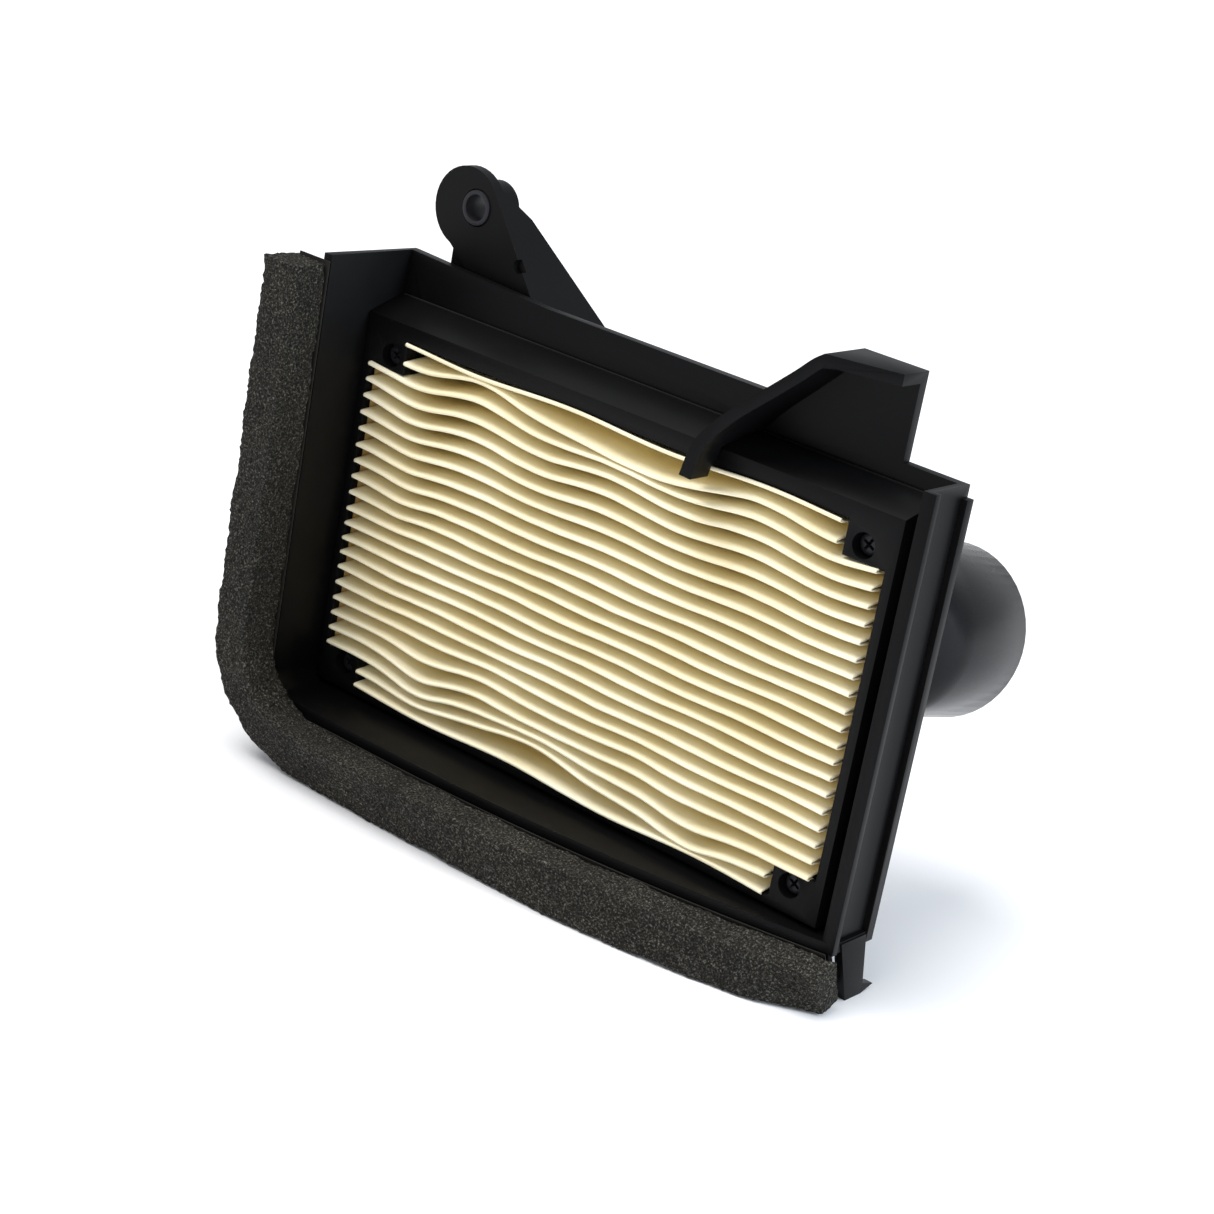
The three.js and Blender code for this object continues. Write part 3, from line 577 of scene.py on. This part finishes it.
def foam_material():
    material, tree, surface = node_material("seal_foam")
    where = add(tree, "ShaderNodeTexCoord")
    cells = add(tree, "ShaderNodeTexVoronoi")
    cells.inputs["Scale"].default_value = 1250
    tree.links.new(where.outputs["Object"], cells.inputs["Vector"])
    specks = noise_texture(tree, 1900, 2, 0.7)
    patches = noise_texture(tree, 60, 3, 0.6)
    dark, middle, light = (0.012, 0.0115, 0.010), (0.034, 0.032, 0.028), (0.16, 0.155, 0.14)
    tone = ramp(tree, specks.outputs["Fac"], [(0.42, dark), (0.56, middle), (0.74, light)])
    shade = ramp(tree, patches.outputs["Fac"], [(0.3, (0.75, 0.75, 0.75)), (0.7, (1.15, 1.14, 1.10))])
    mixed = add(tree, "ShaderNodeMix", data_type="RGBA", blend_type="MULTIPLY")
    mixed.inputs["Factor"].default_value = 1.0
    tree.links.new(tone.outputs["Color"], mixed.inputs[6])
    tree.links.new(shade.outputs["Color"], mixed.inputs[7])
    tree.links.new(mixed.outputs[2], surface.inputs["Base Color"])
    rough = value_range(tree, patches.outputs["Fac"], 0.88, 1.0)
    tree.links.new(rough.outputs["Result"], surface.inputs["Roughness"])
    surface.inputs["Specular IOR Level"].default_value = 0.12
    pores = bump_node(tree, cells.outputs["Distance"], 0.9, 0.0007)
    relief = bump_node(tree, specks.outputs["Fac"], 0.6, 0.0004)
    tree.links.new(pores.outputs["Normal"], relief.inputs["Normal"])
    tree.links.new(relief.outputs["Normal"], surface.inputs["Normal"])
    return material


# ------------------------------------------------------------------ floor and light
def make_floor():
    size = 6  # metres from the middle to each side
    low = cad_box[0][2]
    corners = [(-size, -size, low), (size, -size, low), (size, size, low), (-size, size, low)]
    floor = new_object("studio_floor", corners, [(0, 1, 2, 3)])
    material, _, surface = node_material("white_sweep")
    surface.inputs["Base Color"].default_value = (0.9, 0.9, 0.92, 1)
    surface.inputs["Roughness"].default_value = 0.9
    floor.data.materials.append(material)


def area_light(name, place, target, size, power, colour=(1, 1, 1)):
    data = bpy.data.lights.new(name, "AREA")
    data.shape = "RECTANGLE"
    data.size, data.size_y = size
    data.energy = power
    data.color = colour
    light = bpy.data.objects.new(name, data)
    light.location = place
    light.rotation_mode = "QUATERNION"
    light.rotation_quaternion = (target - place).to_track_quat("-Z", "Y")
    bpy.context.scene.collection.objects.link(light)


def make_lights():
    world = bpy.data.worlds.new("studio")
    bpy.context.scene.world = world
    world.use_nodes = True
    background = world.node_tree.nodes["Background"]
    background.inputs["Color"].default_value = (0.94, 0.97, 1, 1)
    background.inputs["Strength"].default_value = 0.66
    centre = at(WIDTH / 2, 0, HEIGHT / 2)
    sun = bpy.data.lights.new("overhead_softbox", "SUN")
    sun.energy = 2.5
    sun.angle = math.radians(38)
    sun.color = (1, 0.985, 0.96)
    lamp = bpy.data.objects.new("overhead_softbox", sun)
    lamp.rotation_mode = "QUATERNION"
    lamp.rotation_quaternion = Vector((0.22, 0.30, -0.93)).to_track_quat("-Z", "Y")
    bpy.context.scene.collection.objects.link(lamp)
    area_light("side_right", centre + Vector((0.75, 0.12, 0.3)), centre, (0.12, 0.5), 4.5, (0.82, 0.91, 1))


# ------------------------------------------------------------------ assembly
make_camera()
make_floor()
make_lights()
bpy.context.scene.view_settings.view_transform = "Standard"

FINISHES = {
    "tray_plastic": plain_material("tray_plastic", (0.0022, 0.0022, 0.0025), 0.32, 0.5, 0.11),
    "duct_plastic": plain_material("duct_plastic", (0.0016, 0.0021, 0.0028), 0.2, 0.34, 0.16, grain=0.05),
    "gasket_rubber": plain_material("gasket_rubber", (0.006, 0.006, 0.006), 0.6, 0.8, 0.2),
    "pleat_glue": plain_material("pleat_glue", (0.45, 0.30, 0.12), 0.25, 0.45, 0.4, grain_scale=500),
    # Partly painted shade: the steel is set near black, darker than bare steel, so that the screw heads in
    # their recesses and the ear bush's hole read dark.
    "screw_steel": plain_material("screw_steel", (0.02, 0.02, 0.023), 0.34, 0.55, 0.3, 0.6, 2600, 0.1),
    # Painted shade: the tape is set near black so that it reads as the dark shaded line at the foam band's
    # edge.
    "tape": plain_material("tape", (0.016, 0.015, 0.013), 0.7, 0.9, 0.15),
    "filter_paper": paper_material(),
    "seal_foam": foam_material(),
}
# Millimetres. The other nodes keep their sharp edges.
EDGE_WIDTHS = {"front_tray": 0.35, "element_frame": 0.3, "ear_bush": 0.2}
slots = {part["node"]: part["material_slot"] for part in frame["record"]["subparts"]}


def dress(piece, node):
    """Give a new piece the finish and the place of the node that it stands for."""
    slot = slots[node]
    piece.data.materials.clear()
    piece.data.materials.append(FINISHES[slot])
    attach(piece, "root")
    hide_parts(node)


dress(make_pleats(), "pleated_media")
band = make_foam()
dress(band, "foam_seal")
screws = [name for name in slots if name.startswith("screw_")]
for name in screws:
    dress(make_screw(name), name)

for name, node in frame["nodes"].items():
    if name in ("pleated_media", "foam_seal") or name in screws:
        continue
    node.data.materials.clear()
    node.data.materials.append(FINISHES[slots[name]])
    finish_edges(node, EDGE_WIDTHS.get(name, 0.0))
